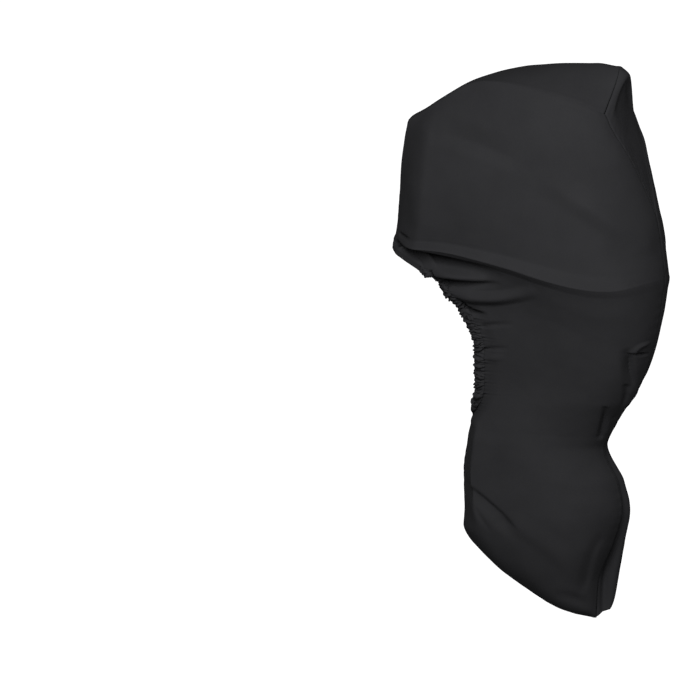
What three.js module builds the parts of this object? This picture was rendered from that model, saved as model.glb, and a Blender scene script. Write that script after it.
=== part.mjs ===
// A fitted storage cover of woven polyester canvas, drawn over its load from above and hanging from it:
// a hood on top, a gathered opening at the front, a sleeve below and a closed boot at the foot.
// Two side panels meet in seams down the front, along the keel and up the back. A crown panel runs up
// the front of the hood and over its top, and a gusset closes the back of the hood behind it.
// Millimetres, +X aft, +Y starboard, +Z up. The origin is the inside of the crown at its crest.
import * as THREE from "three";

// Driving dimensions
const CLOTH = 2; // thickness of the canvas with its doubled seams
const SEAM_GAP = 0.3; // between two pieces that are sewn together
const PANEL_STEPS = 22; // mesh steps over a side panel, front to aft
const CROWN_STEPS = 10; // mesh steps over the crown and the gusset, port to starboard
const SHARPEST_MITRE = 0.5; // cosine of half the sharpest turn that the binding follows in full
const BINDING = { width: 14, thickness: 8, gather: 20, depth: 2.2, stepsPerGather: 3, sides: 6 };
const BLACK_CANVAS = { color: 0x2a2a2c, roughness: 0.6, metalness: 0 };

function table(names, rows) {
  const columns = names.split(" ");
  return rows.map((row) => Object.fromEntries(columns.map((name, i) => [name, row[i]])));
}

// Sections of a side panel from the crown seam down to the keel seam. steps: mesh steps from the
// section above. frontX to aftZ: the panel's two edges, Y being the distance from the middle plane.
// midZ and heelZ: the section's height at 43% and 88% of its length. side: its greatest distance from
// the middle plane. nose and tail: the lengths of its two roundings. bag: how far the starboard panel
// bags out aft of the back seam. turn: how the nose comes round into the side, 1 for a corner and 2 for
// a round. start: how it leaves the front edge, 1 for straight aft and 0.5 for square.
const COLUMNS =
  "name steps frontX frontY frontZ midZ heelZ aftX aftY aftZ side nose tail bag turn start";
const SECTIONS = table(COLUMNS, [
  ["crown seam", 0, -421, 120, -161, -46, -90, 120, 86, -122, 140, 90, 260, 0, 1.6, 1],
  ["shoulder", 2, -430, 119, -200, -105, -137, 138, 79, -162, 168, 100, 330, 0, 1.6, 1],
  ["brow", 2, -441, 118, -275, -205, -207, 166, 61, -215, 192, 105, 380, 0, 1.6, 1],
  ["cheek", 2, -448, 117, -365, -330, -302, 202, 24, -312, 206, 108, 400, 0, 1.6, 1],
  ["gusset point", 2, -451, 118, -420, -405, -385, 230, 0, -400, 209, 108, 400, 0, 1.6, 1],
  ["band", 2, -455, 120, -452, -466, -505, 246, 0, -492, 206, 100, 360, 0, 1.6, 1],
  ["rim", 2, -459, 122, -480, -504, -571, 252, 0, -551, 219, 100, 330, 0, 1.6, 1],
  ["tuck", 2, -444, 128, -496, -526, -593, 249, 0, -579, 203, 75, 320, 0, 2, 1],
  ["throat", 7, -352, 156, -541, -572, -640, 242, 0, -632, 185, 70, 300, 0, 2, 1],
  ["neck", 7, -264, 159, -619, -638, -700, 229, 0, -700, 168, 70, 280, 0, 2, 1],
  ["gathers", 3, -209, 147, -735, -742, -785, 203, 0, -785, 152, 60, 260, 0, 2, 1],
  ["last gathers", 3, -215, 127, -853, -852, -872, 162, 0, -872, 140, 60, 240, 0, 2, 1],
  ["opening end", 2, -277, 24, -942, -946, -956, 104, 0, -958, 144, 65, 240, 0, 1.5, 0.7],
  ["front seam", 1, -280, 0, -954, -959, -969, 97, 0, -971, 145, 65, 240, 0, 1.4, 0.65],
  ["waist", 1, -285, 0, -985, -990, -1000, 85, 0, -1002, 148, 65, 240, 4, 1.3, 0.6],
  ["calf", 2, -298, 0, -1080, -1082, -1090, 122, 0, -1090, 148, 65, 250, 12, 1.3, 0.6],
  ["ankle", 3, -298, 0, -1170, -1172, -1160, 136, 0, -1160, 146, 80, 240, 16, 1.6, 0.55],
  ["toe", 3, -299, 0, -1218, -1240, -1250, 110, 0, -1250, 138, 110, 210, 30, 2, 0.5],
  ["belly", 3, -300, 0, -1231, -1306, -1352, 70, 0, -1350, 116, 140, 160, 52, 2, 0.5],
  ["sole", 3, -301, 0, -1238, -1354, -1428, 64, 0, -1432, 64, 180, 120, 44, 2, 0.5],
  ["keel seam", 2, -302, 0, -1240, -1366, -1446, 62, 0, -1450, 0, 180, 120, 0, 2, 0.5],
]);
const STATIONS = [0, 0.43, 0.88, 1]; // where along a section its four heights are given
const BAG_SHARE = 0.3; // share of the section's length over which the panel bags out

// Folds, seen from the side: each follows a bend through three points, with the depth there, out of
// the cloth if positive. above and below: how far it reaches to either hand of its line.
const PORT_FOLDS = table("name x1 z1 x2 z2 x3 z3 d1 d2 d3 above below", [
  ["under the rim", -420, -494, -322, -514, -140, -528, -10, -30, -5, 18, 26],
  ["upper lobe", -330, -533, -262, -550, -190, -556, 8, 9, 2, 18, 18],
  ["second valley", -322, -556, -262, -575, -140, -566, -12, -18, -3, 19, 19],
  ["lower lobe", -262, -594, -160, -608, -30, -580, 8, 12, 3, 22, 24],
  ["third valley", -262, -622, -236, -634, -196, -650, -10, -12, -3, 18, 20],
  ["boot tuck", -242, -1098, -180, -1137, -118, -1187, -5, -8, -4, 16, 50],
  ["over the foot", -105, -1197, 0, -1270, 28, -1345, 3, 4, 1, 45, 30],
  ["fore crease", -310, -181, -200, -202, -50, -252, -3, -11, -2, 55, 35],
  ["aft crease", 10, -300, 125, -374, 215, -452, 3, 11, 4, 50, 40],
  ["back crease", 182, -752, 176, -790, 172, -835, -5, -9, -5, 22, 22],
  ["waist pinch", 122, -900, 108, -940, 96, -975, -4, -8, -4, 20, 20],
]);
const STARBOARD_FOLDS = table("name x1 z1 x2 z2 x3 z3 d1 d2 d3 above below", [
  ["under the rim", -420, -494, -340, -512, -180, -530, -10, -26, -5, 18, 26],
  ["upper lobe", -320, -536, -262, -552, -180, -560, 7, 10, 2, 20, 20],
  ["second valley", -300, -576, -250, -590, -170, -596, -10, -16, -3, 20, 22],
  ["lower lobe", -256, -612, -200, -622, -120, -626, 6, 8, 2, 20, 24],
  ["boot tuck", -235, -1110, -170, -1147, -100, -1185, -6, -10, -5, 18, 24],
  ["fore crease", -330, -190, -190, -215, -30, -270, -3, -7, -3, 60, 30],
  ["aft crease", 0, -300, 110, -370, 210, -450, 3, 7, 3, 60, 30],
]);
const SEAM_FADE = 0.1; // share of a panel's width in which its folds die out towards a seam
const FADE_ROWS = 2; // mesh rows in which they die out towards the crown and the keel
const BEND_SAMPLES = 24; // points along a fold from which the distance to it is measured

// The crown over the seam that it shares with the side panels. along: share of the seam's top stretch.
// ahead and rise: how far the middle line stands before and over the seam. ridge: small where narrow.
const CROWN = table("along ahead rise ridge", [
  [0, 17, 10, 1.5],
  [0.16, 8, 13, 1.5],
  [0.34, 2, 12, 1.4],
  [0.54, 0, 33, 1.1],
  [0.7, 0, 59, 0.8],
  [0.887, 0, 89, 0.45],
  [1, 2, 114, 0.3],
]);
const BROW_AHEAD = 18; // how far the front of the hood is rounded forward
const TAIL_SWEEP = 12; // how far aft the crown's last seam bows on either side of its crest
const TIP_SHARE = 0.7; // how far the gusset's tip reaches towards the point where the panels meet
const TIP_HALF_WIDTH = 0.8; // of the gusset there

// The gusset's middle line from the crown's last seam down to its point, a row for each of its rows.
const GUSSET = table("middleX middleZ ridge", [
  [118, -8, 0.3],
  [149, -30, 0.35],
  [140, -60, 0.5],
  [137, -104, 0.8],
  [146, -158, 1],
  [166, -214, 1.2],
  [188, -270, 1.5],
  [209, -335, 1.5],
]);

// The middle of the hollow, towards which the cloth's edges are square. lowX and highX: its ends.
const CORE = table("z lowX highX", [
  [-190, -330, 60],
  [-480, -330, 60],
  [-541, -310, 60],
  [-620, -235, 100],
  [-735, -185, 100],
  [-1250, -150, 0],
]);

// A curve through the points that never overshoots them.
function curve(at, values) {
  const chord = (i) => (values[i + 1] - values[i]) / (at[i + 1] - at[i]);
  const slope = (i) => {
    if (i === 0) return chord(0);
    if (i === at.length - 1) return chord(i - 1);
    const [before, after] = [chord(i - 1), chord(i)];
    return before * after <= 0 ? 0 : (2 * before * after) / (before + after);
  };
  return (t) => {
    let i = 0;
    while (i < at.length - 2 && t > at[i + 1]) i++;
    const h = at[i + 1] - at[i];
    const q = THREE.MathUtils.clamp((t - at[i]) / h, 0, 1);
    const [q2, q3] = [q * q, q * q * q];
    return (
      (2 * q3 - 3 * q2 + 1) * values[i] +
      (q3 - 2 * q2 + q) * h * slope(i) +
      (3 * q2 - 2 * q3) * values[i + 1] +
      (q3 - q2) * h * slope(i + 1)
    );
  };
}

const pluck = (rows, name) => rows.map((row) => row[name]);
const LEVELS = SECTIONS.map((_, i) => SECTIONS.slice(0, i + 1).reduce((sum, s) => sum + s.steps, 0));
const level = (name) => LEVELS[SECTIONS.findIndex((s) => s.name === name)];
const ROWS = level("keel seam");
const POINT_ROW = level("gusset point");
const RIM_ROW = level("rim");
const OPENING_END_ROW = level("opening end");
const section = Object.fromEntries(
  Object.keys(SECTIONS[0])
    .slice(2)
    .map((name) => [name, curve(LEVELS, pluck(SECTIONS, name))]),
);

const rounding = (q, turn, start) => (1 - (1 - THREE.MathUtils.clamp(q, 0, 1)) ** turn) ** start;
const ease = (q) => THREE.MathUtils.smoothstep(q, 0, 1);

// Share of a section's length at mesh step i of n, closer together at both ends.
const share = (i, n) => (1 - Math.cos((Math.PI * i) / n)) / 2;

// A point of a side panel without its folds. s: 0 at the front edge, 1 aft. side: -1 port, 1 starboard.
function smoothPoint(s, row, side) {
  const at = (name) => section[name](row);
  const length = at("aftX") - at("frontX");
  const edge = THREE.MathUtils.lerp(at("frontY"), at("aftY"), s);
  const nose = rounding((s * length) / at("nose"), at("turn"), at("start"));
  const tail = rounding(((1 - s) * length) / at("tail"), 2, 0.5);
  const bag = side > 0 ? at("bag") * Math.sin(Math.PI * Math.sqrt(Math.min((1 - s) / BAG_SHARE, 1))) : 0;
  return new THREE.Vector3(
    at("frontX") + length * s + bag,
    side * Math.max(edge + (at("side") - edge) * nose * tail, SEAM_GAP / 2),
    curve(STATIONS, [at("frontZ"), at("midZ"), at("heelZ"), at("aftZ")])(s),
  );
}

// How far the folds move the cloth at a point.
function foldDepth(folds, x, z) {
  let depth = 0;
  for (const f of folds) {
    const bend = new THREE.QuadraticBezierCurve(
      new THREE.Vector2(f.x1, f.z1),
      new THREE.Vector2(2 * f.x2 - (f.x1 + f.x3) / 2, 2 * f.z2 - (f.z1 + f.z3) / 2),
      new THREE.Vector2(f.x3, f.z3),
    );
    let nearest = { distance: Infinity };
    for (let i = 0; i <= BEND_SAMPLES; i++) {
      const p = bend.getPoint(i / BEND_SAMPLES);
      const distance = Math.hypot(x - p.x, z - p.y);
      if (distance < nearest.distance) nearest = { distance, t: i / BEND_SAMPLES, over: z > p.y };
    }
    const reach = nearest.over ? f.above : f.below;
    const q = Math.min(nearest.distance / reach, 1);
    depth += curve([0, 0.5, 1], [f.d1, f.d2, f.d3])(nearest.t) * (1 - q * q) ** 2;
  }
  return depth;
}

// From the point before to the point after point i of a line, or as much of that as there is.
const span = (line, i) =>
  new THREE.Vector3().subVectors(line[Math.min(i + 1, line.length - 1)], line[Math.max(i - 1, 0)]);

// The unit normals of a grid of points, seen with its rows downward and its columns to the right.
function normals(grid) {
  return grid.map((line, r) =>
    line.map((_, i) => {
      const across = span(line, i);
      return span(grid.map((other) => other[i]), r).cross(across).normalize();
    }),
  );
}

// The direction in which the cloth is square through at an edge: towards the core of the hollow.
const coreZ = pluck(CORE, "z").reverse();
const coreLow = curve(coreZ, pluck(CORE, "lowX").reverse());
const coreHigh = curve(coreZ, pluck(CORE, "highX").reverse());
function inward(p) {
  const z = THREE.MathUtils.clamp(p.z, coreZ[0], coreZ.at(-1));
  const x = THREE.MathUtils.clamp(p.x, coreLow(z), coreHigh(z));
  return new THREE.Vector3(x, 0, z).sub(p).normalize();
}

// A closed sheet of cloth from the grid of its outer face, rows downward and columns to the right.
function sheet(grid) {
  const [rows, columns] = [grid.length, grid[0].length];
  const normal = normals(grid);
  const inner = grid.map((line, r) =>
    line.map((p, i) => {
      const onEdge = r === 0 || i === 0 || r === rows - 1 || i === columns - 1;
      const through = onEdge ? inward(p) : normal[r][i].clone().negate();
      return p.clone().addScaledVector(through, CLOTH);
    }),
  );
  const index = [];
  const quad = (a, b, c, d) => index.push(a, b, c, a, c, d);
  const outside = (r, i) => r * columns + i;
  const inside = (r, i) => rows * columns + r * columns + i;
  for (let r = 0; r < rows - 1; r++) {
    for (let i = 0; i < columns - 1; i++) {
      quad(outside(r, i), outside(r + 1, i), outside(r + 1, i + 1), outside(r, i + 1));
      quad(inside(r, i), inside(r, i + 1), inside(r + 1, i + 1), inside(r + 1, i));
    }
    quad(outside(r, 0), inside(r, 0), inside(r + 1, 0), outside(r + 1, 0));
    const last = columns - 1;
    quad(outside(r, last), outside(r + 1, last), inside(r + 1, last), inside(r, last));
  }
  for (let i = 0; i < columns - 1; i++) {
    quad(outside(0, i), outside(0, i + 1), inside(0, i + 1), inside(0, i));
    quad(outside(rows - 1, i), inside(rows - 1, i), inside(rows - 1, i + 1), outside(rows - 1, i + 1));
  }
  const geometry = new THREE.BufferGeometry().setFromPoints([...grid.flat(), ...inner.flat()]);
  geometry.setIndex(index);
  return geometry;
}

// The outer face of a side panel.
function panelGrid(side, folds) {
  const smooth = Array.from({ length: ROWS + 1 }, (_, row) =>
    Array.from({ length: PANEL_STEPS + 1 }, (_, i) => smoothPoint(share(i, PANEL_STEPS), row, side)),
  );
  const normal = normals(smooth);
  return smooth.map((line, row) =>
    line.map((p, i) => {
      const s = share(i, PANEL_STEPS);
      const atOpening = row > RIM_ROW && row < OPENING_END_ROW;
      const acrossFade = (atOpening ? 1 : ease(s / SEAM_FADE)) * ease((1 - s) / SEAM_FADE);
      const fade = acrossFade * ease(row / FADE_ROWS) * ease((ROWS - row) / FADE_ROWS);
      const moved = p.clone().addScaledVector(normal[row][i], -side * foldDepth(folds, p.x, p.z) * fade);
      moved.y = side * Math.max(side * moved.y, SEAM_GAP / 2);
      return moved;
    }),
  );
}

// A line of points moved by the seam gap to the side that an inner point lies on.
function besideSeam(seam, inner) {
  return seam.map((p, i) => {
    const beside = new THREE.Vector3().crossVectors(inward(p), span(seam, i)).normalize();
    if (beside.dot(new THREE.Vector3().subVectors(inner[i], p)) < 0) beside.negate();
    return p.clone().addScaledVector(beside, SEAM_GAP);
  });
}

const ridgeShare = (q, ridge) => (Math.hypot(q, ridge) - ridge) / (Math.hypot(1, ridge) - ridge);

// A row across the middle plane, from its port edge over its middle point to the mirrored edge.
// sweep: how far it bows aft on either side, most at a third of the way out.
function archRow(edge, middle, ridge, sweep) {
  return Array.from({ length: CROWN_STEPS + 1 }, (_, i) => {
    const w = (2 * i) / CROWN_STEPS - 1;
    const up = 1 - ridgeShare(Math.abs(w), ridge);
    return new THREE.Vector3(
      THREE.MathUtils.lerp(edge.x, middle.x, up) + sweep * Math.sin(Math.PI * Math.abs(w) ** (2 / 3)),
      -edge.y * w,
      THREE.MathUtils.lerp(edge.z, middle.z, up),
    );
  });
}

const portGrid = panelGrid(-1, PORT_FOLDS);
const starboardGrid = panelGrid(1, STARBOARD_FOLDS);

// The crown's grid, its rows running from the opening up the front of the hood and over to the gusset.
function crownGrid() {
  const seam = [];
  for (let row = RIM_ROW; row > 0; row--) seam.push(portGrid[row][0]);
  seam.push(...portGrid[0]);
  const crown = Object.fromEntries(
    ["ahead", "rise", "ridge"].map((name) => [name, curve(pluck(CROWN, "along"), pluck(CROWN, name))]),
  );
  const along = (k) => (k < RIM_ROW ? 0 : share(k - RIM_ROW, PANEL_STEPS));
  const middle = seam.map((p, k) => {
    const down = Math.max(1 - k / RIM_ROW, 0);
    const ahead = THREE.MathUtils.lerp(crown.ahead(along(k)), BROW_AHEAD, down);
    return new THREE.Vector3(p.x - ahead, 0, p.z + crown.rise(along(k)) * (1 - down) ** 3);
  });
  return besideSeam(seam, middle).map((p, k) => {
    const sweep = k === seam.length - 1 ? TAIL_SWEEP : 0;
    return archRow(p, middle[k], crown.ridge(along(k)), sweep);
  });
}

// The gusset's grid, from the crown's last seam down to its point.
function gussetGrid(crown) {
  const seam = portGrid.slice(0, POINT_ROW).map((line) => line.at(-1));
  const middle = GUSSET.map((row) => new THREE.Vector3(row.middleX, 0, row.middleZ));
  const edge = besideSeam(seam, middle);
  const rows = edge.map((p, k) => archRow(p, middle[k], GUSSET[k].ridge, 0));
  rows[0] = besideSeam(crown.at(-1), rows[1]);
  const tip = rows.at(-1).map((p) => p.clone().lerp(portGrid[POINT_ROW].at(-1), TIP_SHARE));
  tip.forEach((p, i) => (p.y = TIP_HALF_WIDTH * ((2 * i) / CROWN_STEPS - 1)));
  return [...rows, tip];
}

// The gathered binding: a closed ring of small sections along the edge of the opening.
function bindingGeometry(crown) {
  const port = portGrid.slice(RIM_ROW, OPENING_END_ROW + 1);
  const starboard = starboardGrid.slice(RIM_ROW, OPENING_END_ROW + 1);
  const loop = [
    ...port.map((line) => ({ edge: line[0], inner: line[1] })),
    ...starboard.map((line) => ({ edge: line[0], inner: line[1] })).reverse(),
    ...crown[0].slice(1, -1).reverse().map((p, i) => ({ edge: p, inner: crown[1][CROWN_STEPS - 1 - i] })),
  ];
  const next = (i) => loop[(i + 1) % loop.length];
  const square = loop.map((station, i) => {
    const along = new THREE.Vector3().subVectors(next(i).edge, station.edge);
    const middle = station.edge.clone().lerp(next(i).edge, 0.5);
    const beside = new THREE.Vector3().crossVectors(inward(middle), along).normalize();
    const inner = station.inner.clone().lerp(next(i).inner, 0.5).sub(middle);
    return beside.dot(inner) > 0 ? beside.negate() : beside;
  });
  const mitred = loop.map((_, i) => {
    const before = square[(i + loop.length - 1) % loop.length];
    const beside = before.clone().add(square[i]).normalize();
    return beside.divideScalar(Math.max(beside.dot(square[i]), SHARPEST_MITRE));
  });
  const rings = [];
  let length = 0;
  loop.forEach((station, i) => {
    const stretch = station.edge.distanceTo(next(i).edge);
    const steps = Math.max(1, Math.round((stretch * BINDING.stepsPerGather) / BINDING.gather));
    for (let k = 0; k < steps; k++) {
      const q = k / steps;
      const edge = station.edge.clone().lerp(next(i).edge, q);
      const away = mitred[i].clone().lerp(mitred[(i + 1) % loop.length], q);
      const through = inward(edge);
      const wave = Math.sin((2 * Math.PI * (length + q * stretch)) / BINDING.gather);
      const [half, thick] = [BINDING.width / 2, BINDING.thickness / 2];
      const centre = edge.addScaledVector(through, CLOTH / 2).addScaledVector(away, SEAM_GAP + half);
      rings.push(
        Array.from({ length: BINDING.sides }, (_, j) => {
          const angle = (2 * Math.PI * j) / BINDING.sides;
          const wide = half * Math.cos(angle) + (Math.cos(angle) > 0 ? BINDING.depth * wave : 0);
          const deep = (thick + BINDING.depth * wave) * Math.sin(angle);
          return centre.clone().addScaledVector(away, wide).addScaledVector(through, -deep);
        }),
      );
    }
    length += stretch;
  });
  const index = [];
  const at = (r, j) => (r % rings.length) * BINDING.sides + (j % BINDING.sides);
  for (let r = 0; r < rings.length; r++) {
    for (let j = 0; j < BINDING.sides; j++) {
      index.push(at(r, j), at(r + 1, j + 1), at(r, j + 1), at(r, j), at(r + 1, j), at(r + 1, j + 1));
    }
  }
  const geometry = new THREE.BufferGeometry().setFromPoints(rings.flat());
  geometry.setIndex(index);
  return geometry;
}

const group = new THREE.Group();
group.position.z = CLOTH;

function piece(name, geometry) {
  const mesh = new THREE.Mesh(geometry, new THREE.MeshStandardMaterial(BLACK_CANVAS));
  mesh.name = name;
  group.add(mesh);
}

const mirrored = (grid) => grid.map((line) => [...line].reverse());
const crown = crownGrid();
piece("port_side_panel", sheet(portGrid));
piece("starboard_side_panel", sheet(mirrored(starboardGrid)));
piece("crown_panel", sheet(crown));
piece("back_gusset", sheet(gussetGrid(crown)));
piece("opening_binding", bindingGeometry(crown));

export default group;
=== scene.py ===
"""A fitted storage cover of black woven canvas: hood, gathered opening, sleeve and closed boot.

Metres, +X aft, +Y starboard, +Z up. The origin is the inside of the crown at its crest.
"""
import math

import bpy
import numpy as np
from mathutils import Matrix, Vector, noise


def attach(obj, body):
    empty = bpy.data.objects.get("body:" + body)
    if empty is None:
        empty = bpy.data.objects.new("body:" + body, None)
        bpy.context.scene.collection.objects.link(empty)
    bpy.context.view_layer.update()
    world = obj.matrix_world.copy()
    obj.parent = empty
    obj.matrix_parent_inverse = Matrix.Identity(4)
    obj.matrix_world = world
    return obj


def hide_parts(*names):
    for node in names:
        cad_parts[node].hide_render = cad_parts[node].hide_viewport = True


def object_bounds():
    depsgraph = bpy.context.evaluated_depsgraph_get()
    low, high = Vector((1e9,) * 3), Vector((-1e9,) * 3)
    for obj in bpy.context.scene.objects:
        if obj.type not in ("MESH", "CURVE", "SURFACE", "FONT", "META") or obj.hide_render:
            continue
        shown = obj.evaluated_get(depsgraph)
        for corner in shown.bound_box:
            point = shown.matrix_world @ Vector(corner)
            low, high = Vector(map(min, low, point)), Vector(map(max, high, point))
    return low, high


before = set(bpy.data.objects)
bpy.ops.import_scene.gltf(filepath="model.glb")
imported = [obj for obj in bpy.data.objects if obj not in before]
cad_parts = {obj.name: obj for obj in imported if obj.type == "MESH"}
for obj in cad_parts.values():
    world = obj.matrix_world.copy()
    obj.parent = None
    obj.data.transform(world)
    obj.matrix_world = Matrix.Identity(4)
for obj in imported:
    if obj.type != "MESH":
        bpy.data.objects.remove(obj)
cad_corners = [list(corner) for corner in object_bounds()]

# Camera: a long lens on the port quarter, a little above the cover, which hangs in the right half of
# the picture. The aim is given from the crest of the crown, to the right and up in the picture.
CAMERA_AZIMUTH, CAMERA_ELEVATION = 25, 8
CAMERA_DISTANCE, FAR_ENOUGH = 24.0, 200
PICTURE_WIDTH = 1.803
AIM_RIGHT, AIM_UP = -0.582, -0.742


def direction(azimuth, elevation):
    """The way out from the cover, in degrees, the azimuth being 0 to port and 90 aft."""
    azimuth, elevation = math.radians(azimuth), math.radians(elevation)
    return Vector((
        math.sin(azimuth) * math.cos(elevation),
        -math.cos(azimuth) * math.cos(elevation),
        math.sin(elevation),
    ))


to_camera = direction(CAMERA_AZIMUTH, CAMERA_ELEVATION)
camera_right = direction(CAMERA_AZIMUTH + 90, 0)
aim = camera_right * AIM_RIGHT + to_camera.cross(camera_right) * AIM_UP
bpy.ops.object.camera_add(
    location=aim + to_camera * CAMERA_DISTANCE,
    rotation=to_camera.to_track_quat("Z", "Y").to_euler(),
)
camera = bpy.context.object
camera.data.lens = camera.data.sensor_width * CAMERA_DISTANCE / PICTURE_WIDTH
camera.data.clip_end = FAR_ENOUGH
bpy.context.scene.camera = camera

# Side panels: two mirrored cuts of canvas, from the crown seam over the widest line at the rim and
# down the sleeve to the boot. They are sewn to each other up the back, down the front and along the
# keel. Below the rim their front edges stand open and are gathered by the binding's elastic.
CLOTH = 0.0012  # its thickness
SEAM_GAP = 0.00004  # between the two panels where they are sewn to each other
CREST = 0.002  # the outer face's height over the origin at the crest of the crown


def columns(names, rows):
    """The rows of a table as one array for each of its named columns."""
    return dict(zip(names.split(), np.array(rows, float).T))


# place: along the loft, from the crown seam to the keel. pitch: of the mesh rows down to that place.
# front_x to front_z and aft_x to aft_z: the panel's two edges, y being the distance from the middle
# plane. mid_z, heel_z: its height at 43% and 88% of its length. side: its own distance from the middle
# plane. nose, tail: lengths of the roundings between the side and the edges. bag: how far the starboard
# panel bags out aft of the back seam. lift: of its fore part. turn: how the nose comes round into the
# side, 1 for a corner and 2 for a round. start: how it leaves the front edge, 1 for aslant and 0.5 for
# square.
SECTIONS = columns(
    "place pitch front_x front_y front_z mid_z heel_z aft_x aft_y aft_z side nose tail bag lift turn start",
    [
        (0, 0, -.421, .12, -.161, -.046, -.09, .12, .086, -.122, .14, .09, .26, 0, 0, 1.6, 1),
        (2, .006, -.43, .119, -.2, -.105, -.137, .138, .079, -.162, .168, .1, .33, 0, 0, 1.6, 1),
        (4, .0062, -.441, .118, -.275, -.205, -.207, .166, .061, -.215, .192, .105, .38, 0, 0, 1.6, 1),
        (6, .0062, -.448, .117, -.365, -.33, -.302, .202, .024, -.312, .206, .108, .4, 0, 0, 1.6, 1),
        (8, .0062, -.451, .118, -.42, -.405, -.385, .23, 0, -.4, .209, .108, .4, 0, 0, 1.6, 1),
        (10, .005, -.455, .12, -.452, -.466, -.505, .246, 0, -.492, .2055, .1, .36, 0, .004, 1.6, 1),
        (10.8, .003, -.457, .121, -.463, -.481, -.533, .249, 0, -.515, .2045, .1, .345, 0, .008, 1.6, 1),
        (11.6, .0024, -.4585, .1215, -.4775, -.505, -.567, .2515, 0, -.547, .219, .1, .335, 0, .009, 1.6, 1),
        (12, .0024, -.459, .122, -.48, -.508, -.571, .252, 0, -.551, .22, .1, .33, 0, .009, 1.6, 1),
        (12.4, .0016, -.456, .127, -.483, -.512, -.5755, .252, 0, -.5565, .217, .1, .33, 0, .009, 1.6, 1),
        (14, .0018, -.43, .158, -.496, -.529, -.593, .249, 0, -.579, .203, .07, .32, 0, .006, 2, 1),
        (21, .0024, -.343, .176, -.541, -.572, -.64, .242, 0, -.632, .187, .07, .3, 0, 0, 2, 1),
        (28, .0024, -.264, .159, -.619, -.638, -.7, .229, 0, -.7, .168, .07, .28, 0, 0, 2, 1),
        (31, .0026, -.209, .147, -.735, -.742, -.785, .203, 0, -.785, .152, .06, .26, 0, 0, 2, 1),
        (34, .003, -.215, .127, -.853, -.852, -.872, .162, 0, -.872, .14, .06, .24, 0, 0, 2, 1),
        (35, .003, -.236, .1, -.9, -.899, -.913, .13, 0, -.914, .141, .06, .24, 0, 0, 2, .9),
        (36, .0038, -.277, .012, -.94, -.946, -.956, .104, 0, -.958, .144, .065, .24, 0, 0, 1.5, .7),
        (36.3, .0028, -.282, 0, -.953, -.958, -.968, .097, 0, -.97, .145, .068, .24, .001, 0, 1.35, .7),
        (37, .005, -.297, 0, -.985, -.99, -1, .083, 0, -1.002, .148, .076, .24, .004, 0, 1.15, .8),
        (39, .006, -.315, 0, -1.08, -1.082, -1.09, .122, 0, -1.09, .148, .086, .25, .012, 0, 1.05, .97),
        (42, .005, -.311, 0, -1.17, -1.172, -1.16, .136, 0, -1.16, .146, .092, .24, .016, 0, 1.2, .85),
        (45, .005, -.299, 0, -1.218, -1.24, -1.25, .11, 0, -1.25, .138, .11, .21, .03, 0, 2, .5),
        (48, .006, -.3, 0, -1.231, -1.306, -1.352, .07, 0, -1.35, .116, .14, .16, .052, 0, 2, .5),
        (51, .006, -.301, 0, -1.238, -1.354, -1.428, .064, 0, -1.432, .064, .18, .12, .044, 0, 2, .5),
        (53, .004, -.302, 0, -1.24, -1.366, -1.446, .062, 0, -1.45, 0, .18, .12, 0, 0, 2, .5),
    ],
)
GUSSET_POINT, RIM, OPENING_END = 8, 12, 36  # places on the loft
STATIONS = [0, 0.43, 0.88, 1]  # where along a section its four heights are given
BAG_SHARE = 0.3  # share of the section's length over which the panel bags out
LIFT_SHARE = 0.5  # share of it over which its fore part is lifted

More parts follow.
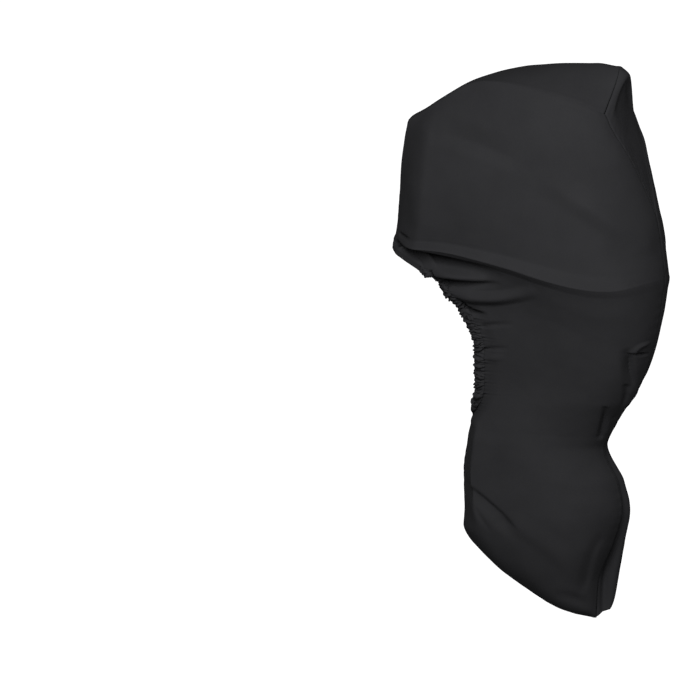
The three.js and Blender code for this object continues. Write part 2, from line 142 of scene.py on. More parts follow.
# Folds, seen from the side: each follows a bend through three points (x, z), with the depth there,
# out of the cloth if positive, and its reach to the left and right of its way. crease: 0 for a soft
# trough or ridge, 1 for a sharp one.
PORT_FOLDS = [
    # the drawn folds between the rim and the corner of the opening
    (-.44, -.486, -.33, -.506, -.14, -.532, -.03, -.042, -.002, .02, .026, .1),
    (-.35, -.537, -.27, -.547, -.18, -.552, .008, .014, .004, .015, .014, 0),
    (-.322, -.546, -.285, -.568, -.14, -.562, -.015, -.02, -.002, .012, .016, .35),
    (-.275, -.59, -.17, -.603, -.04, -.577, .013, .016, .004, .022, .022, 0),
    (-.252, -.622, -.225, -.641, -.185, -.647, -.014, -.018, -.003, .011, .013, .3),
    (-.19, -.68, -.16, -.674, -.11, -.668, -.004, -.004, -.001, .012, .01, .2),
    (-.197, -.74, -.165, -.736, -.125, -.733, -.006, -.004, -.001, .009, .01, .3),
    (-.188, -.765, -.17, -.762, -.14, -.76, .004, .004, .001, .014, .014, 0),
    # the hood: a dent at the front corner and the two lines drawn across its side
    (-.43, -.452, -.41, -.455, -.39, -.458, -.006, -.008, -.002, .008, .008, .2),
    (-.31, -.181, -.2, -.202, -.05, -.252, -.003, -.011, -.002, .055, .035, .4),
    (.01, -.3, .125, -.374, .215, -.452, .003, .011, .004, .05, .04, .3),
    # aft, where the sleeve narrows to the waist
    (.189, -.742, .187, -.775, .18, -.832, -.009, -.016, -.006, .007, .024, .5),
    (.197, -.734, .211, -.718, .227, -.714, .006, .007, .003, .007, .007, .3),
    (.203, -.741, .214, -.744, .228, -.745, -.008, -.01, -.006, .006, .008, .4),
    (.17, -.83, .153, -.885, .128, -.918, -.006, -.01, -.006, .007, .011, .45),
    (.12, -.886, .107, -.925, .091, -.966, -.006, -.011, -.008, .007, .011, .5),
    # the boot: the tuck with the fold that runs on from it, and the small wrinkles
    (-.242, -1.098, -.18, -1.137, -.118, -1.187, -.005, -.0075, -.0035, .006, .045, .25),
    (-.155, -1.17, -.135, -1.188, -.112, -1.208, -.001, -.005, -.001, .02, .035, 0),
    (-.105, -1.197, 0, -1.27, .028, -1.345, .003, .004, .001, .045, .03, .2),
    (-.212, -1.16, -.198, -1.183, -.178, -1.21, -.002, -.003, -.001, .006, .012, .4),
    (-.005, -1.38, .03, -1.39, .048, -1.405, -.003, -.007, -.003, .016, .014, .2),
    (.1, -1.228, .074, -1.285, .052, -1.36, -.002, -.005, -.004, .008, .02, .3),
]
STARBOARD_FOLDS = [
    (-.425, -.482, -.325, -.5, -.16, -.522, -.012, -.026, -.004, .014, .022, .1),
    (-.34, -.524, -.26, -.541, -.17, -.55, .006, .008, .002, .014, .014, 0),
    (-.3, -.562, -.25, -.58, -.14, -.582, -.012, -.017, -.002, .013, .017, .3),
    (-.255, -.602, -.19, -.616, -.1, -.61, .006, .008, .002, .018, .02, .1),
    (-.23, -.65, -.205, -.662, -.165, -.668, -.009, -.01, -.002, .011, .013, .3),
    (-.2, -.79, -.17, -.784, -.12, -.78, -.005, -.005, -.001, .011, .012, .2),
    (-.33, -.19, -.19, -.215, -.03, -.27, -.003, -.007, -.003, .06, .03, .2),
    (0, -.3, .11, -.37, .21, -.45, .003, .007, .003, .06, .03, .2),
    (.186, -.755, .184, -.79, .176, -.84, -.005, -.009, -.004, .008, .024, .4),
    (.15, -.87, .135, -.9, .11, -.94, -.004, -.008, -.004, .008, .012, .4),
    (-.235, -1.11, -.17, -1.147, -.1, -1.185, -.006, -.01, -.005, .008, .014, .5),
    (-.1, -1.2, -.01, -1.27, .02, -1.34, .004, .006, .002, .045, .03, .2),
]
SEAM_FADE = 0.02  # share of a panel's length in which its folds die out towards a seam
FADE_PLACES = 2  # stretch of the loft in which they die out towards the crown and the keel
# the hollow beside the back seam, to starboard: its place and reach along the loft, its depth, and how
# far from the seam it lies and reaches
HEEL, HEEL_REACH, HEEL_HOLLOW, HOLLOW_OFF, HOLLOW_WIDTH = 45.5, 7.5, 0.021, 0.021, 0.016
BEND_PIECES = 24  # short straight pieces that stand for a fold's bend
SWELL, SWELL_SIZE = 0.0016, 0.085  # height and size of the cloth's slow unevenness
RIPPLE, RIPPLE_SIZE = 0.0005, 0.03  # and of a finer one on it
NOISE_STEPS = (7.3, 3.1, 5.7)  # from one piece's unevenness to the next one's

# Seams: a groove at the stitches, the doubled allowance beside it, and puckers that run out from it.
GROOVE_DEPTH, GROOVE_WIDTH = 0.0014, 0.003
ALLOWANCE_HEIGHT, ALLOWANCE_NEAR, ALLOWANCE_FAR = 0.0007, 0.001, 0.009  # the last two from the stitches
ALLOWANCE_RISE, ALLOWANCE_FALL = 0.004, 0.005
PUCKER_HEIGHT, PUCKER_LENGTH, PUCKER_REACH, PUCKER_START = 0.0009, 0.027, 0.018, 0.005
DRIFT, DRIFT_LENGTH, QUIVER_LENGTH = 2.2, 0.06, 0.023  # how far, and how often, puckers come off beat
DRAWN_LENGTH = 0.09  # of the stretches in which they are stronger and weaker
PRESSED_SEAM = 0.6  # strength of a seam that lies flatter

# Gathers that the elastic draws in the edge of the opening, from a smooth hem at its upper corner to
# the waist: the hem's length and width, how soon they set in, and the height at which they end.
SMOOTH_HEM, HEM_WIDTH, GATHERS_START = 0.118, 0.018, 0.03
GATHERS_END, GATHERS_FADE = -0.935, 0.025
NARROWEST_GATHER, WIDEST_GATHER, GATHERS_DRAWN = 0.0078, 0.0125, 120
LONG_ONES_BEAT = 2.1  # angle from one gather to the next in the change from short to long ones
SHORT_DEPTH, LONG_DEPTH = 0.0018, 0.0024  # of a short gather, and what a long one adds to it
SHORT_REACH, LONG_REACH = 0.008, 0.014  # how far they run into the panel


def smooth_curve(at, values):
    """A curve through the points that never overshoots them. Each value may be an array."""
    at, values = np.array(at, float), np.array(values, float)
    gap = np.diff(at).reshape(-1, *[1] * (values.ndim - 1))
    chord = np.diff(values, axis=0) / gap
    before, after = chord[:-1], chord[1:]
    bends = before * after > 0
    inner = np.where(bends, 2 * before * after / np.where(bends, before + after, 1), 0)
    slope = np.concatenate([chord[:1], inner, chord[-1:]])

    def value(t):
        t = np.asarray(t, float)
        i = np.clip(np.searchsorted(at, t, side="right") - 1, 0, len(gap) - 1)
        q = np.clip((t - at[i]) / (at[i + 1] - at[i]), 0, 1)
        q = q.reshape(*q.shape, *[1] * (values.ndim - 1))
        return (
            (2 * q**3 - 3 * q**2 + 1) * values[i]
            + (q**3 - 2 * q**2 + q) * gap[i] * slope[i]
            + (3 * q**2 - 2 * q**3) * values[i + 1]
            + (q**3 - q**2) * gap[i] * slope[i + 1]
        )

    return value


def ease(q):
    """From 0 to 1 with a soft start and a soft end."""
    q = np.clip(q, 0, 1)
    return q * q * (3 - 2 * q)


def run(points, axis=0):
    """The length along a line of points, from its first."""
    steps = np.linalg.norm(np.diff(points, axis=axis), axis=-1)
    start = np.zeros_like(np.take(steps, [0], axis=axis))
    return np.concatenate([start, np.cumsum(steps, axis=axis)], axis=axis)


def unit(vectors):
    return vectors / np.linalg.norm(vectors, axis=-1, keepdims=True)


def facing(grid):
    """The unit normals of a grid of points, seen with its rows downward and its columns right."""
    return unit(np.cross(np.gradient(grid, axis=0), np.gradient(grid, axis=1)))


def fold_depth(folds, x, z):
    """How far the folds move the cloth at places seen from the side."""
    depth = np.zeros_like(x)
    t = np.linspace(0, 1, BEND_PIECES + 1)[:, None]
    for x1, z1, x2, z2, x3, z3, d1, d2, d3, left, right, crease in folds:
        start, end = np.array([x1, z1]), np.array([x3, z3])
        middle = 2 * np.array([x2, z2]) - (start + end) / 2
        line = (1 - t) ** 2 * start + 2 * t * (1 - t) * middle + t**2 * end
        reach = max(left, right)
        low, high = line.min(0) - reach, line.max(0) + reach
        near = (x > low[0]) & (x < high[0]) & (z > low[1]) & (z < high[1])
        if not near.any():
            continue
        place = np.stack([x[near], z[near]], -1)[:, None]
        begin, step = line[:-1], np.diff(line, axis=0)
        along = np.clip(((place - begin) * step).sum(-1) / (step**2).sum(-1), 0, 1)
        off = place - (begin + along[..., None] * step)
        distance = np.hypot(off[..., 0], off[..., 1])
        best = distance.argmin(1)
        row = np.arange(len(best))
        nearest = off[row, best]
        on_left = step[best, 0] * nearest[:, 1] - step[best, 1] * nearest[:, 0] > 0
        q = np.clip(distance[row, best] / np.where(on_left, left, right), 0, 1)
        along = (best + along[row, best]) / BEND_PIECES
        shape = (1 - crease) * (1 - q**2) ** 2 + crease * (1 - q) ** 2
        depth[near] += smooth_curve([0, 0.5, 1], [d1, d2, d3])(along) * shape
    return depth


def undulation(points, size, seed):
    """Slow unevenness of hanging cloth, from -1 to 1, with bumps of the given size."""
    shift = Vector([seed * step for step in NOISE_STEPS])
    flat = [noise.noise(Vector(p) / size + shift) for p in points.reshape(-1, 3)]
    return np.array(flat).reshape(points.shape[:-1])


def seam_relief(distance, along, seed, strength=1):
    """Height of the cloth beside a seam: a groove, the doubled allowance beside it, and puckers."""
    groove = -GROOVE_DEPTH * np.exp(-((distance / GROOVE_WIDTH) ** 2))
    allowance = ALLOWANCE_HEIGHT * ease((distance - ALLOWANCE_NEAR) / ALLOWANCE_RISE)
    allowance = allowance * (1 - ease((distance - ALLOWANCE_FAR) / ALLOWANCE_FALL))
    phase = 2 * math.pi * along / PUCKER_LENGTH + DRIFT * np.sin(along / DRIFT_LENGTH + seed)
    phase = phase + np.sin(along / QUIVER_LENGTH + seed)
    drawn = 0.5 + 0.5 * np.sin(along / DRAWN_LENGTH + 2 * seed)
    pucker = PUCKER_HEIGHT * drawn * np.sin(phase) * np.exp(-distance / PUCKER_REACH)
    pucker = pucker * ease(distance / PUCKER_START)
    return strength * (groove + allowance + pucker)


def gathers(along, seed):
    """The number of the gather at a length along the edge of the opening, counted from its corner."""
    widths = np.random.default_rng(seed).uniform(NARROWEST_GATHER, WIDEST_GATHER, GATHERS_DRAWN)
    return np.interp(along, np.concatenate([[0], np.cumsum(widths)]), np.arange(len(widths) + 1))


def gathered(along, height):
    """How strongly the edge of the opening is gathered there, from 0 to 1."""
    return ease((along - SMOOTH_HEM) / GATHERS_START) * ease((height - GATHERS_END) / GATHERS_FADE)


# Mesh rows and columns: closer together along the gathered opening, at the rim and beside seams. The
# columns are spaced round the cheek, a place on the loft, by their distance from its front edge.
CHEEK, CHEEK_POINTS, LAST_COLUMN = 6.0, 2001, 0.001
COLUMN_PITCH = [(0, .002), (.02, .0036), (.1, .0048), (.2, .0085), (.62, .0085), (.74, .0052), (.84, .003)]
section = {name: smooth_curve(SECTIONS["place"], SECTIONS[name]) for name in SECTIONS}


def smooth_panel(side, rows, across):
    """A side panel without its folds. across: 0 at the front edge, 1 aft. side: -1 port, 1 starboard."""
    at = {name: curve(rows)[:, None] for name, curve in section.items()}
    length = at["aft_x"] - at["front_x"]
    edge = at["front_y"] + (at["aft_y"] - at["front_y"]) * across
    from_front = np.clip(across * length / at["nose"], 0, 1)
    from_back = np.clip((1 - across) * length / at["tail"], 0, 1)
    rounded = (1 - (1 - from_front) ** at["turn"]) ** at["start"]
    rounded = rounded * np.sqrt(1 - (1 - from_back) ** 2)
    bag = at["bag"] * np.sin(math.pi * np.sqrt(np.clip((1 - across) / BAG_SHARE, 0, 1)))
    lift = at["lift"] * np.sin(math.pi * np.clip(across / LIFT_SHARE, 0, 1)) ** 2
    heights = np.array([at[name][:, 0] for name in ("front_z", "mid_z", "heel_z", "aft_z")])
    return np.stack([
        at["front_x"] + length * across + (bag if side > 0 else 0),
        side * np.maximum(edge + (at["side"] - edge) * rounded, SEAM_GAP / 2),
        smooth_curve(STATIONS, heights)(across).T + lift + CREST,
    ], -1)


rows = np.concatenate([[0]] + [
    np.linspace(a, b, max(2, round(height / pitch)) + 1)[1:]
    for a, b, height, pitch in zip(
        SECTIONS["place"][:-1], SECTIONS["place"][1:],
        np.hypot(np.hypot(np.diff(SECTIONS["front_x"]), np.diff(SECTIONS["front_y"])),
                 np.maximum(abs(np.diff(SECTIONS["front_z"])), abs(np.diff(SECTIONS["mid_z"])))),
        SECTIONS["pitch"][1:],
    )
])
fine_share = (1 - np.cos(np.linspace(0, math.pi, CHEEK_POINTS))) / 2
cheek_run = run(smooth_panel(-1, np.array([CHEEK]), fine_share)[0])
column_places = [0.0]
while column_places[-1] < cheek_run[-1] - LAST_COLUMN:
    spacing = np.interp(column_places[-1], *np.array(COLUMN_PITCH).T)
    column_places.append(min(column_places[-1] + spacing, cheek_run[-1]))
across = np.interp(column_places, cheek_run, fine_share)
across[-1] = 1
rim_row, end_row = np.searchsorted(rows, RIM), np.searchsorted(rows, OPENING_END)


def side_panel(side, folds, seed):
    """The outer face of a side panel, rows from the crown seam down, columns from the front aft."""
    smooth = smooth_panel(side, rows, across)
    outward = facing(smooth) * -side
    place = rows[:, None]
    opening = (place > RIM) & (place < OPENING_END)
    down, over = run(smooth, 0), run(smooth, 1)
    edge_run = down[:, :1] - down[rim_row, 0]
    on_hem = 1 - ease((edge_run - SMOOTH_HEM) / GATHERS_START)
    at_edge = np.where(opening, 1 - on_hem * (1 - ease(over / HEM_WIDTH)), ease(across / SEAM_FADE))
    fade = at_edge * ease((1 - across) / SEAM_FADE)
    fade = fade * ease(place / FADE_PLACES) * ease((rows[-1] - place) / FADE_PLACES)
    depth = fold_depth(folds, smooth[..., 0], smooth[..., 2]) * fade
    depth = depth + SWELL * undulation(smooth, SWELL_SIZE, seed)
    depth = depth + RIPPLE * undulation(smooth, RIPPLE_SIZE, seed + 1)
    depth += seam_relief(down, over, seed, PRESSED_SEAM)
    depth += seam_relief(down[-1] - down, over, seed)
    depth += seam_relief(over[:, -1:] - over, down, seed)
    depth += np.where(opening, 0, seam_relief(over, down, seed, PRESSED_SEAM))
    number = gathers(edge_run, seed)
    long_ones = 0.5 + 0.5 * np.sin(LONG_ONES_BEAT * np.round(number) + seed)
    dying_out = np.exp(-over / (SHORT_REACH + LONG_REACH * long_ones))
    pull = gathered(edge_run, smooth[:, :1, 2]) * opening * dying_out
    depth -= (SHORT_DEPTH + LONG_DEPTH * long_ones) * np.cos(2 * math.pi * number) * pull
    if side > 0:
        from_seam, heel = over[:, -1:] - over, np.exp(-(((place - HEEL) / HEEL_REACH) ** 2))
        depth -= HEEL_HOLLOW * heel * np.exp(-(((from_seam - HOLLOW_OFF) / HOLLOW_WIDTH) ** 2))
    moved = smooth + outward * depth[..., None]
    moved[..., 1] = side * np.maximum(side * moved[..., 1], SEAM_GAP / 2)
    return moved


SMOOTH_UNDER = math.radians(50)  # edges sharper than this stay sharp


def add_cloth(name, outer, inner, ring=False):
    """A closed sheet of cloth from its two faces, rows downward and columns to the right."""
    if ring:
        outer, inner = outer[:-1], inner[:-1]
    index = np.arange(outer.shape[0] * outer.shape[1]).reshape(outer.shape[:2])
    count = index.size
    if ring:
        index = np.concatenate([index, index[:1]])
    front = np.stack([index[:-1, :-1], index[1:, :-1], index[1:, 1:], index[:-1, 1:]], -1)
    front = front.reshape(-1, 4)
    borders = [index[:, 0], index[::-1, -1]]
    if not ring:
        borders += [index[-1, :], index[0, ::-1]]
    rims = [np.stack([b[1:], b[:-1], b[:-1] + count, b[1:] + count], -1) for b in borders]
    faces = np.concatenate([front, front[:, ::-1] + count, *rims])
    mesh = bpy.data.meshes.new(name)
    mesh.from_pydata(np.concatenate([outer.reshape(-1, 3), inner.reshape(-1, 3)]), [], faces.tolist())
    piece = bpy.data.objects.new(name, mesh)
    bpy.context.scene.collection.objects.link(piece)
    bpy.ops.object.select_all(action="DESELECT")
    piece.select_set(True)
    bpy.context.view_layer.objects.active = piece
    bpy.ops.object.shade_smooth_by_angle(angle=SMOOTH_UNDER)
    return piece


def lay_weave(piece, flat_places):
    """Gives each point its place on the uncut cloth, in metres, so that the weave follows it."""
    uv = piece.data.uv_layers.new(name="Cloth")
    corners = np.zeros(len(piece.data.loops), int)
    piece.data.loops.foreach_get("vertex_index", corners)
    places = np.concatenate([flat_places.reshape(-1, 2)] * 2)
    uv.data.foreach_set("uv", places[corners].ravel())


def inner_face(outer, outward, side=0):
    inner = outer - outward * CLOTH
    if side:
        inner[..., 1] = side * np.maximum(side * inner[..., 1], SEAM_GAP / 2)
    return inner


def linear(hex_colour):
    """sRGB hex to linear colour."""
    parts = [int(hex_colour[i:i + 2], 16) / 255 for i in (1, 3, 5)]
    return [*(p / 12.92 if p <= 0.04045 else ((p + 0.055) / 1.055) ** 2.4 for p in parts), 1]


def add_node(tree, kind, inputs=None, **settings):
    node = tree.nodes.new(kind)
    for name, value in settings.items():
        setattr(node, name, value)
    for socket, value in (inputs or {}).items():
        if isinstance(value, bpy.types.NodeSocket):
            tree.links.new(value, node.inputs[socket])
        else:
            node.inputs[socket].default_value = value
    return node


THREAD = 0.0008  # from one thread to the next: it shows close up, and not from the camera
PATCHES, SLUBS = 9.0, 240.0  # a metre: patches of uneven dye, and thick places in the yarn


def woven_canvas(name, dark, light):
    """Polyester canvas in plain weave, piece-dyed and coated on its inside: nearly matt, so that its
    edges stay dark where they turn away, with the weave close up and a slightly uneven tone."""
    material = bpy.data.materials.new(name)
    material.use_nodes = True
    tree = material.node_tree
    shader = tree.nodes["Principled BSDF"]
    shader.inputs["Roughness"].default_value = 0.68
    shader.inputs["Specular IOR Level"].default_value = 0.06
    shader.inputs["IOR"].default_value = 1.5
    cloth = add_node(tree, "ShaderNodeUVMap", uv_map="Cloth")
    turns = add_node(tree, "ShaderNodeVectorMath", {0: cloth.outputs["UV"], "Scale": math.pi / THREAD},
                     operation="SCALE")
    split = add_node(tree, "ShaderNodeSeparateXYZ", {0: turns.outputs[0]})
    warp = add_node(tree, "ShaderNodeMath", {0: split.outputs["X"]}, operation="SINE")
    weft = add_node(tree, "ShaderNodeMath", {0: split.outputs["Y"]}, operation="SINE")
    weave = add_node(tree, "ShaderNodeMath", {0: warp.outputs[0], 1: weft.outputs[0]},
                     operation="MULTIPLY")
    place = add_node(tree, "ShaderNodeTexCoord")
    patches = add_node(tree, "ShaderNodeTexNoise", {
        "Vector": place.outputs["Object"], "Scale": PATCHES, "Detail": 3.0, "Roughness": 0.5})
    slubs = add_node(tree, "ShaderNodeTexNoise",
                     {"Vector": place.outputs["Object"], "Scale": SLUBS, "Detail": 2.0})
    tone = add_node(tree, "ShaderNodeMath",
                    {0: patches.outputs["Fac"], 1: 0.7, 2: 0.0}, operation="MULTIPLY_ADD")
    tone = add_node(tree, "ShaderNodeMath",
                    {0: slubs.outputs["Fac"], 1: 0.3, 2: tone.outputs[0]}, operation="MULTIPLY_ADD")
    colour = add_node(tree, "ShaderNodeMix", {0: tone.outputs[0], 6: linear(dark), 7: linear(light)},
                      data_type="RGBA")
    tree.links.new(colour.outputs[2], shader.inputs["Base Color"])
    grain = add_node(tree, "ShaderNodeBump",
                     {"Strength": 0.25, "Distance": 0.0004, "Height": slubs.outputs["Fac"]})
    threads = add_node(tree, "ShaderNodeBump", {
        "Strength": 0.3, "Distance": 0.0001, "Height": weave.outputs[0], "Normal": grain.outputs[0]})
    tree.links.new(threads.outputs[0], shader.inputs["Normal"])
    return material


canvas = woven_canvas("coated_woven_polyester", "#2e2e30", "#3b3b3d")

port = side_panel(-1, PORT_FOLDS, 1)
port_flat = np.stack([run(port, 1), run(port, 0)], -1)
port_panel = add_cloth("port_side_cloth", port, inner_face(port, facing(port), -1))
lay_weave(port_panel, port_flat)
port_panel.data.materials.append(canvas)
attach(port_panel, "root")
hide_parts("port_side_panel")

starboard = side_panel(1, STARBOARD_FOLDS, 2)[:, ::-1]
starboard_flat = np.stack([run(starboard, 1), run(starboard, 0)], -1)
starboard_inner = inner_face(starboard, facing(starboard), 1)
starboard_panel = add_cloth("starboard_side_cloth", starboard, starboard_inner)
lay_weave(starboard_panel, starboard_flat)
starboard_panel.data.materials.append(canvas)
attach(starboard_panel, "root")
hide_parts("starboard_side_panel")

# Crown: one long cut that starts at the opening, runs up the front of the hood between the side
# panels and over the top to the cross seam at the gusset. Its front end is hemmed under the binding.
# along: share of the seam's top stretch. ahead, rise: of the middle line from the seam. ridge: 0 for a
# sharp ridge over the middle plane, more for a rounder arch.
CROWN = columns("along ahead rise ridge", [
    (0, .017, .01, 1.5),
    (.16, .008, .013, 1.5),
    (.34, .002, .012, 1.4),
    (.54, 0, .033, 1.1),
    (.7, 0, .059, .8),
    (.887, 0, .089, .45),
    (1, .002, .114, .3),
])
BROW_AHEAD = 0.018  # how far the front of the hood swells ahead of its edges at the opening
# how far the cross seam sweeps aft to either side of the middle, and the share of the top stretch over
# which the sweep sets in
TAIL_SWEEP, SWEEP_SHARE = 0.012, 0.05
CROWN_SWELL, CROWN_SWELL_SIZE = 0.0014, 0.09
CROSS_SEAM = 0.3  # strength of the seam that joins the crown to the gusset
ARCH_POINTS = 97
arch_places = np.linspace(-1, 1, ARCH_POINTS)


def arch_rows(edge, middle, ridge, sweep):
    """Rows over the middle plane, each from its port edge over its middle to the mirrored edge."""
    w = abs(arch_places)[None]
    ridge = ridge[:, None]
    up = 1 - (np.hypot(w, ridge) - ridge) / (np.hypot(1, ridge) - ridge)
    return np.stack([
        edge[:, :1] + (middle[:, :1] - edge[:, :1]) * up + sweep[:, None] * np.sin(math.pi * w ** (2 / 3)),
        -edge[:, 1:2] * arch_places[None],
        edge[:, 2:] + (middle[:, 2:] - edge[:, 2:]) * up,
    ], -1)


front_rows = np.flatnonzero(rows <= RIM)[::-1]
crown_edge = np.concatenate([port[front_rows, 0], port[0, 1:]])
along = np.concatenate([np.zeros(len(front_rows)), across[1:]])
down = np.concatenate([rows[front_rows] / RIM, np.zeros(len(across) - 1)])
crown_shape = {
    name: smooth_curve(CROWN["along"], CROWN[name])(along) for name in ("ahead", "rise", "ridge")
}
crown_middle = np.stack([
    crown_edge[:, 0] - (crown_shape["ahead"] + (BROW_AHEAD - crown_shape["ahead"]) * down),
    np.zeros(len(along)),
    crown_edge[:, 2] + crown_shape["rise"] * (1 - down) ** 3,
], -1)
crown_sweep = TAIL_SWEEP * ease((along - 1 + SWEEP_SHARE) / SWEEP_SHARE)
crown = arch_rows(crown_edge, crown_middle, crown_shape["ridge"], crown_sweep)
crown_out = facing(crown)
crown_over, crown_down = run(crown, 1), run(crown, 0)
crown_relief = (
    CROWN_SWELL * undulation(crown, CROWN_SWELL_SIZE, 5)
    + seam_relief(crown_over, crown_down, 3, PRESSED_SEAM)
    + seam_relief(crown_over[:, -1:] - crown_over, crown_down, 4, PRESSED_SEAM)
    + seam_relief(crown_down[-1] - crown_down, crown_over, 5, CROSS_SEAM)
)
crown = crown + crown_out * crown_relief[..., None]
crown_flat = np.stack([crown_over, crown_down], -1)
crown_piece = add_cloth("crown_cloth", crown, inner_face(crown, facing(crown)))
lay_weave(crown_piece, crown_flat)
crown_piece.data.materials.append(canvas)
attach(crown_piece, "root")
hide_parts("crown_panel")

# Gusset: a small wedge that closes the back of the hood, from the cross seam over a narrow ledge and
# down to the point where the side panels meet. Its middle line is given at the loft's places 0 to 7.
GUSSET = columns("middle_x middle_z ridge", [
    (.118, -.008, .3),
    (.149, -.03, .35),
    (.139, -.06, .5),
    (.136, -.104, .8),
    (.146, -.158, 1),
    (.166, -.214, 1.2),
    (.188, -.27, 1.5),
    (.209, -.335, 1.5),
])
LAST_LEVEL, GUSSET_TIP = 7, 7.7
GUSSET_SWELL, GUSSET_SWELL_SIZE = 0.001, 0.05
# two dents under the ledge: their depth, their level and reach on the loft, and their place and reach
# to either side, as shares of the half width
DENT, DENT_LEVEL, DENT_REACH, DENT_SIDE, DENT_WIDTH = 0.006, 2.2, 0.9, 0.45, 0.3
gusset_rows = np.flatnonzero(rows <= GUSSET_TIP)
levels = rows[gusset_rows]
gusset_edge = port[gusset_rows, -1]
meeting = port[np.searchsorted(rows, GUSSET_POINT), -1]
shape = {name: smooth_curve(range(LAST_LEVEL + 1), GUSSET[name])(levels) for name in GUSSET}
past = np.clip(levels - LAST_LEVEL, 0, 1)
gusset_middle = np.stack([
    shape["middle_x"] + (meeting[0] - shape["middle_x"]) * past,
    np.zeros(len(levels)),
    shape["middle_z"] + CREST + (meeting[2] - shape["middle_z"] - CREST) * past,
], -1)
gusset = arch_rows(gusset_edge, gusset_middle, shape["ridge"], TAIL_SWEEP * (1 - ease(levels)))
gusset_over, gusset_down = run(gusset, 1), run(gusset, 0)
dents = DENT * np.exp(
    -(((levels[:, None] - DENT_LEVEL) / DENT_REACH) ** 2)
    - ((abs(arch_places) - DENT_SIDE) / DENT_WIDTH) ** 2
)
gusset_relief = (
    GUSSET_SWELL * undulation(gusset, GUSSET_SWELL_SIZE, 8)
    + seam_relief(gusset_over, gusset_down, 6)
    + seam_relief(gusset_over[:, -1:] - gusset_over, gusset_down, 7)
    + seam_relief(gusset_down, gusset_over, 8, CROSS_SEAM)
    - dents
)
gusset = gusset + facing(gusset) * gusset_relief[..., None]
gusset_piece = add_cloth("gusset_cloth", gusset, inner_face(gusset, facing(gusset)))
lay_weave(gusset_piece, np.stack([gusset_over, gusset_down], -1))
gusset_piece.data.materials.append(canvas)
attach(gusset_piece, "root")
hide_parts("back_gusset")

# Binding: a strip of the same canvas folded over the edge of the opening and drawn up by the elastic
# inside it, so that it stands in small gathers except for the smooth hem at the front corners.
OVER, FREE = 0.018, 0.0135  # its widths on the cloth and beyond its edge
HALF_THICKNESS, PRESSED, PRESSED_WIDTH = 0.0034, 0.0009, 0.009  # in the middle and at its sewn edges
STRIP_PLY = 0.0008
STATION = 0.0012  # between the mesh's rows round the opening
STRIP_POINTS = 27  # from one sewn edge of the strip round to the other
PAST_EDGE = 0.5  # the share of that way on which the strip lies past the cloth's edge
FACES_FORWARD = 0.3  # share of forward in the way that the strip faces, to either side
# The gathers are waves. PUFF, SCALLOP: their heights over the cloth and past the free edge, each from
# the level of the wave that stays in place. SEWN_PUFF: the share of a puff that is left at the sewn
# edges. ROUNDNESS: 1 for a plain wave, less for flatter tops. The heights vary round a mean, in an order
# that the last two numbers shuffle.
PUFF, PUFF_LEVEL, SEWN_PUFF = 0.009, 0.3, 0.3
SCALLOP, SCALLOP_LEVEL = 0.001, 0.5
ROUNDNESS, MEAN_HEIGHT, UNEVEN_HEIGHT, SHUFFLE, SHUFFLE_POWER = 0.7, 0.7, 0.5, 2.4, 1.3
DRAWN_ON_CROWN, DRAWN_ON_HEM = 0.12, 0.1  # how far it is drawn up there, 1 being fully
SLANTS = [(0.5, 0.031, 0), (0.4, 0.013, 1)]  # of the gathers: share, length of its wave, start
# The lower end, where the two sides meet: a small bulge with its height and reach, and the height
# under which the strip narrows to the cloth's distance from the middle plane.
LOWER_BULGE, BULGE_HEIGHT, BULGE_REACH = 0.005, -0.892, 0.02
NARROWS_UNDER, MIDDLE_GAP, NARROWEST_FREE = -0.86, 0.001, 0.002
# Reaches over which the lines that the strip follows are smoothed.
EDGE_SOFT, WAY_SOFT, FACING_SOFT, BASE_SOFT = 0.002, 0.006, 0.01, 0.0015
opening_rows = np.arange(rim_row, end_row + 1)
port_edge, port_facing = port[opening_rows], facing(port)[opening_rows]
starboard_edge = starboard[opening_rows[::-1], ::-1]
starboard_facing = facing(starboard)[opening_rows[::-1], ::-1]
crown_end, crown_facing = (part.transpose(1, 0, 2)[-2:0:-1] for part in (crown, facing(crown)))


def in_from_edge(distance):
    """Points round the opening at that distance in from its edge, and the cloth's normals there."""
    found = []
    for cloth, normal in ((port_edge, port_facing), (starboard_edge, starboard_facing),
                          (crown_end, crown_facing)):
        both = np.concatenate([cloth, normal], -1)
        found += [[np.interp(distance, along, values) for values in line.T]
                  for along, line in zip(run(cloth, 1), both)]
    found = np.array(found)
    return found[:, :3], found[:, 3:]


def closed(values):
    return np.concatenate([values, values[:1]])


ring = in_from_edge(0)[0]
ring_run = run(closed(ring))
stations = np.linspace(0, ring_run[-1], round(ring_run[-1] / STATION) + 1)


def resample(values):
    return np.stack([np.interp(stations, ring_run, closed(values)[:, k]) for k in range(3)], -1)


def soften(values, reach):
    """Averages round the ring, over a bell of that reach."""
    spread = round(reach * 3 / STATION)
    bell = np.exp(-((np.arange(-spread, spread + 1) * STATION / reach) ** 2) / 2)
    bell /= bell.sum()
    body = values[:-1]
    wrapped = np.concatenate([body[-spread:], body, body[:spread]])
    return closed(np.stack([np.convolve(column, bell, "valid") for column in wrapped.T], -1))


edge = soften(resample(ring), EDGE_SOFT)
tangent = unit(np.gradient(soften(edge, WAY_SOFT), axis=0))
out = soften(resample(np.concatenate([
    np.tile([-FACES_FORWARD, -1, 0], (len(port_edge), 1)),
    np.tile([-FACES_FORWARD, 1, 0], (len(starboard_edge), 1)),
    np.tile([-1, 0, 0], (len(crown_end), 1)),
])), FACING_SOFT)
out = unit(out - (out * tangent).sum(-1, keepdims=True) * tangent)
away = np.cross(tangent, out)

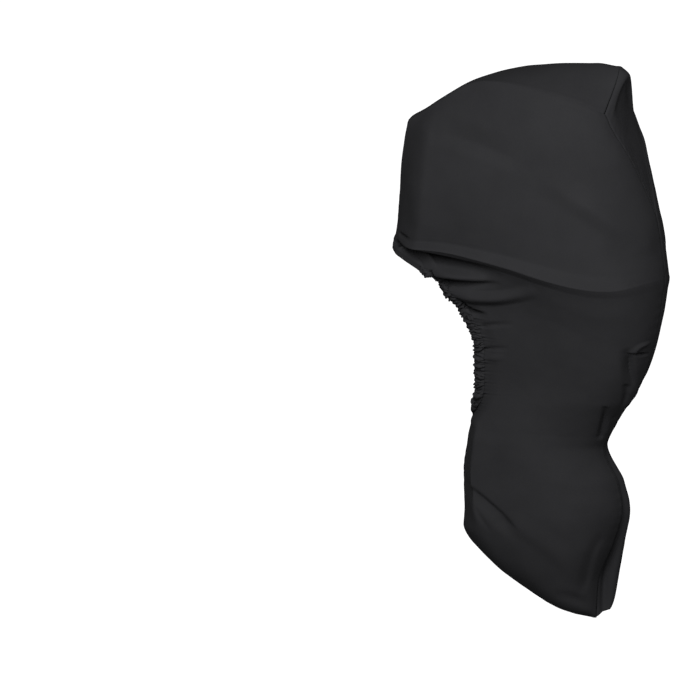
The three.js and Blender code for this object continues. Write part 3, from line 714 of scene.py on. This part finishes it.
port_length = ring_run[len(opening_rows) - 1]
starboard_length = ring_run[2 * len(opening_rows) - 1] - ring_run[len(opening_rows)]
crown_start = ring_run[2 * len(opening_rows) - 1]
on_port, on_crown = stations < (port_length + crown_start - starboard_length) / 2, stations > crown_start
from_corner = np.where(on_port, stations, abs(crown_start - stations))
drawn_up = np.maximum(gathered(from_corner, edge[:, 2]), DRAWN_ON_HEM)
drawn_up = np.where(on_crown, DRAWN_ON_CROWN, drawn_up)
slant = sum(share * np.sin(stations / length + start) for share, length, start in SLANTS)
free = FREE + LOWER_BULGE * np.exp(-(((edge[:, 2] - BULGE_HEIGHT) / BULGE_REACH) ** 2))
room_to_middle = np.maximum(abs(edge[:, 1]) - MIDDLE_GAP, NARROWEST_FREE)
free = np.where(edge[:, 2] < NARROWS_UNDER, np.minimum(free, room_to_middle), free)

# the strip seen end on, from its outer sewn edge round the free edge to the inner one
strip = []
for turn in np.linspace(-1, 1, STRIP_POINTS):
    outer_side, way = -np.sign(turn), abs(turn) / PAST_EDGE
    if way < 1:
        reach, round_off = np.cos(way * math.pi / 2) * free, np.sqrt(np.sin(way * math.pi / 2))
        base, normal = edge + away * reach[:, None], out
        middle = -CLOTH / 2
    else:
        reach, round_off = np.full(len(stations), (1 - way) * OVER), 1
        base, normal = (soften(resample(values), BASE_SOFT) for values in in_from_edge(-reach[0]))
        normal = unit(normal)
        middle = -CLOTH if outer_side < 0 else 0
    lean = np.clip(from_corner + slant * reach, 0, None)
    number = np.where(on_port, gathers(lean, 1), gathers(lean, 2))
    height = MEAN_HEIGHT + UNEVEN_HEIGHT * np.sin(SHUFFLE * np.floor(number) ** SHUFFLE_POWER)
    wave = abs(np.sin(math.pi * number)) ** ROUNDNESS * height
    inner_share = ease((reach + OVER) / PRESSED_WIDTH)
    thick = PRESSED + (HALF_THICKNESS - PRESSED) * inner_share
    thick = thick + PUFF * (wave - PUFF_LEVEL) * drawn_up * (SEWN_PUFF + (1 - SEWN_PUFF) * inner_share)
    scallop = SCALLOP * (wave - SCALLOP_LEVEL) * drawn_up * np.clip(reach / FREE, 0, 1)
    lift = middle + outer_side * thick * round_off
    strip.append(base + away * scallop[:, None] + normal * lift[:, None])
strip = np.stack(strip, 1)
strip[-1] = strip[0]
strip_out = facing(strip)
binding_piece = add_cloth("opening_binding_strip", strip, strip - strip_out * STRIP_PLY, ring=True)
lay_weave(binding_piece, np.stack([run(strip, 1), run(strip, 0)], -1)[:-1])
binding_piece.data.materials.append(canvas)
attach(binding_piece, "root")
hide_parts("opening_binding")

# Floor and light: a pale floor under the hanging cover, one large soft light from a little above the
# camera's line, and a dim room. The white backdrop is seen by the camera and lights nothing.
FLOOR_SIZE, FLOOR_DROP = 120, 0.25
bpy.ops.mesh.primitive_plane_add(size=FLOOR_SIZE, location=(0, 0, cad_corners[0][2] - FLOOR_DROP))
floor = bpy.context.object
floor.name = "floor"
pale = bpy.data.materials.new("pale_floor")
pale.use_nodes = True
pale_shader = pale.node_tree.nodes["Principled BSDF"]
pale_shader.inputs["Base Color"].default_value = (0.85, 0.85, 0.85, 1)
pale_shader.inputs["Roughness"].default_value = 0.9
pale_shader.inputs["Emission Color"].default_value = (1, 1, 1, 1)
pale_shader.inputs["Emission Strength"].default_value = 1.0
floor.data.materials.append(pale)
floor.visible_diffuse = False
floor.visible_glossy = False

LIGHT_AIM = Vector((-0.1, 0, -0.6))
LIGHT_AZIMUTH, LIGHT_ELEVATION, LIGHT_DISTANCE = 20, 28, 4
to_light = direction(LIGHT_AZIMUTH, LIGHT_ELEVATION)
bpy.ops.object.light_add(
    type="AREA",
    location=LIGHT_AIM + to_light * LIGHT_DISTANCE,
    rotation=to_light.to_track_quat("Z", "Y").to_euler(),
)
light = bpy.context.object
light.name = "key"
light.data.size = 2.2
light.data.energy = 112

world = bpy.data.worlds.new("room")
bpy.context.scene.world = world
world.use_nodes = True
tree = world.node_tree
room = tree.nodes["Background"]
room.inputs["Color"].default_value = (1, 1, 1, 1)
room.inputs["Strength"].default_value = 0.13
backdrop = add_node(tree, "ShaderNodeBackground", {"Color": (1, 1, 1, 1), "Strength": 1.0})
seen = add_node(tree, "ShaderNodeLightPath")
surroundings = add_node(tree, "ShaderNodeMixShader",
                        {0: seen.outputs["Is Camera Ray"], 1: room.outputs[0], 2: backdrop.outputs[0]})
tree.links.new(surroundings.outputs[0], tree.nodes["World Output"].inputs["Surface"])
bpy.context.scene.view_settings.view_transform = "Standard"
